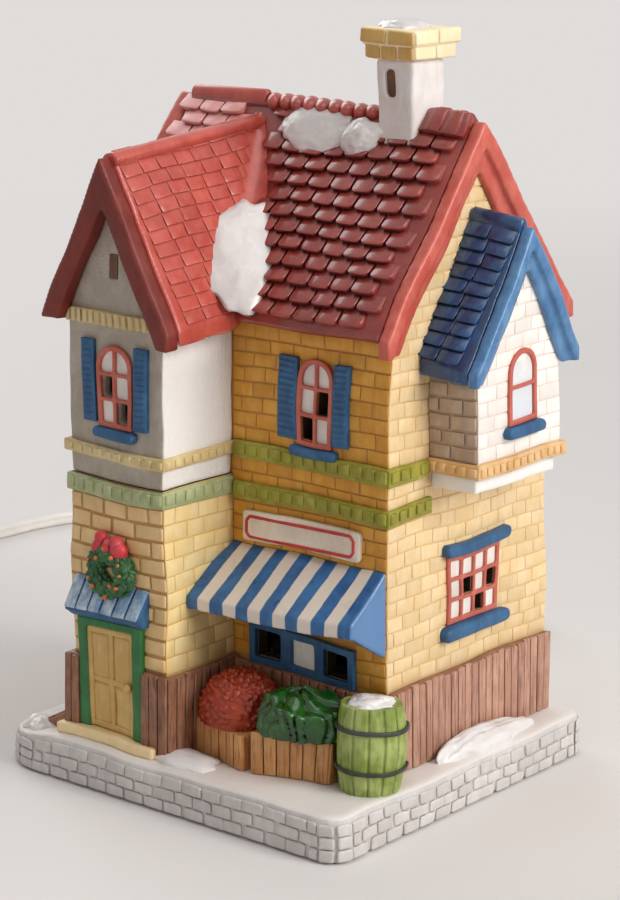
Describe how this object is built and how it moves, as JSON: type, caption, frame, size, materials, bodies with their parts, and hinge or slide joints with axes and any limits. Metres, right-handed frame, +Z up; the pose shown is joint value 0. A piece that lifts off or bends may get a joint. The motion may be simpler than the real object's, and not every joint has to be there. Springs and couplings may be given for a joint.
{
  "type": "ceramic christmas village house",
  "caption": "Ceramic christmas village shop house with a gabled wing, bay, chimney, striped awning, produce crates and snow, lit from inside by a clip-in lamp on a cord.",
  "frame": {"origin": "middle of the ceramic house's bounding box, on the surface it stands on", "axes": "+Z up, -Y towards the front with the door and the awning, +X towards the right wall with the bay"},
  "size_m": [0.3756, 0.2673, 0.2356],
  "materials": {
    "stone_grey": "satin",
    "yellow_brick": "satin",
    "tan_brick": "satin",
    "stucco": "matte",
    "plank_brown": "satin",
    "lime_band": "satin",
    "sage_band": "satin",
    "tan_band": "satin",
    "white_brick": "satin",
    "white_plaster": "matte",
    "orange_band": "satin",
    "roof_red": "gloss",
    "roof_coral": "satin",
    "roof_navy": "gloss",
    "barge_salmon": "satin",
    "barge_brown_red": "satin",
    "barge_blue": "gloss",
    "ochre_brick": "satin",
    "awning_blue": "satin",
    "sign_cream": "satin",
    "trim_blue": "satin",
    "frame_red": "satin",
    "door_tan": "satin",
    "door_green": "satin",
    "wreath_green": "satin",
    "bow_red": "satin",
    "crate_wood": "satin",
    "produce_red": "satin",
    "produce_green": "gloss",
    "barrel_green": "satin",
    "hoop_dark": "satin",
    "snow_white": "gloss",
    "lamp_clear": "gloss",
    "lamp_metal": "satin",
    "holder_plastic": "matte",
    "shell_brass": "satin",
    "clip_steel": "satin",
    "cord_white": "satin",
    "tie_dark": "satin",
    "switch_white": "satin"
  },
  "bodies": {
    "house": {"base_plinth": "stone_grey", "main_walls": "yellow_brick", "wing_ground_walls": "tan_brick", "wing_upper_walls": "stucco", "wainscot": "plank_brown", "main_bands": "lime_band", "wing_lower_band": "sage_band", "wing_upper_band": "tan_band", "wing_dentil": "tan_band", "bay_walls": "white_brick", "bay_corbel": "white_plaster", "bay_band": "orange_band", "main_roof": "roof_red", "wing_roof": "roof_coral", "bay_roof": "roof_navy", "main_barge_boards": "barge_salmon", "wing_barge_boards": "barge_brown_red", "bay_barge_boards": "barge_blue", "chimney_stack": "white_plaster", "chimney_cap": "ochre_brick", "awning": "awning_blue", "sign_board": "sign_cream", "shop_window": "trim_blue", "side_window": "frame_red", "wing_window": "frame_red", "main_window": "frame_red", "bay_window": "frame_red", "side_window_trim": "trim_blue", "window_sills": "trim_blue", "wing_shutters": "trim_blue", "main_shutters": "trim_blue", "door": "door_tan", "door_frame": "door_green", "door_step": "door_tan", "door_canopy": "trim_blue", "wreath": "wreath_green", "wreath_bow": "bow_red", "crate_left": "crate_wood", "crate_right": "crate_wood", "red_heap": "produce_red", "green_heap": "produce_green", "barrel": "barrel_green", "barrel_hoops": "hoop_dark", "cellar_hatch": "plank_brown", "roof_snow": "snow_white", "base_snow": "snow_white"},
    "light_set": {"lampholder_body": "holder_plastic", "lampholder_shell": "shell_brass", "lampholder_clips": "clip_steel", "cord_relief": "cord_white", "cord_lead": "cord_white", "cord_coil": "cord_white", "cord_tail": "cord_white", "coil_tie": "tie_dark", "switch_case": "switch_white", "plug_body": "cord_white", "plug_blades": "shell_brass"},
    "lamp": {"lamp_glass": "lamp_clear", "lamp_base": "lamp_metal"},
    "switch_wheel": {"switch_wheel": "switch_white"}
  },
  "joints": [
    {"name": "light_slide", "type": "slide", "parent": "house", "child": "light_set", "axis": [0, 1, 0], "range_m": [0, 0.075]},
    {"name": "lamp_turn", "type": "hinge", "parent": "light_set", "child": "lamp", "pos_m": [-0.0025, 0.0411, 0.04], "axis": [0, 1, 0], "continuous": true},
    {"name": "wheel_turn", "type": "hinge", "parent": "light_set", "child": "switch_wheel", "pos_m": [-0.12785, 0.18896, 0.0108], "axis": [0, 0, 1], "continuous": true}
  ]
}
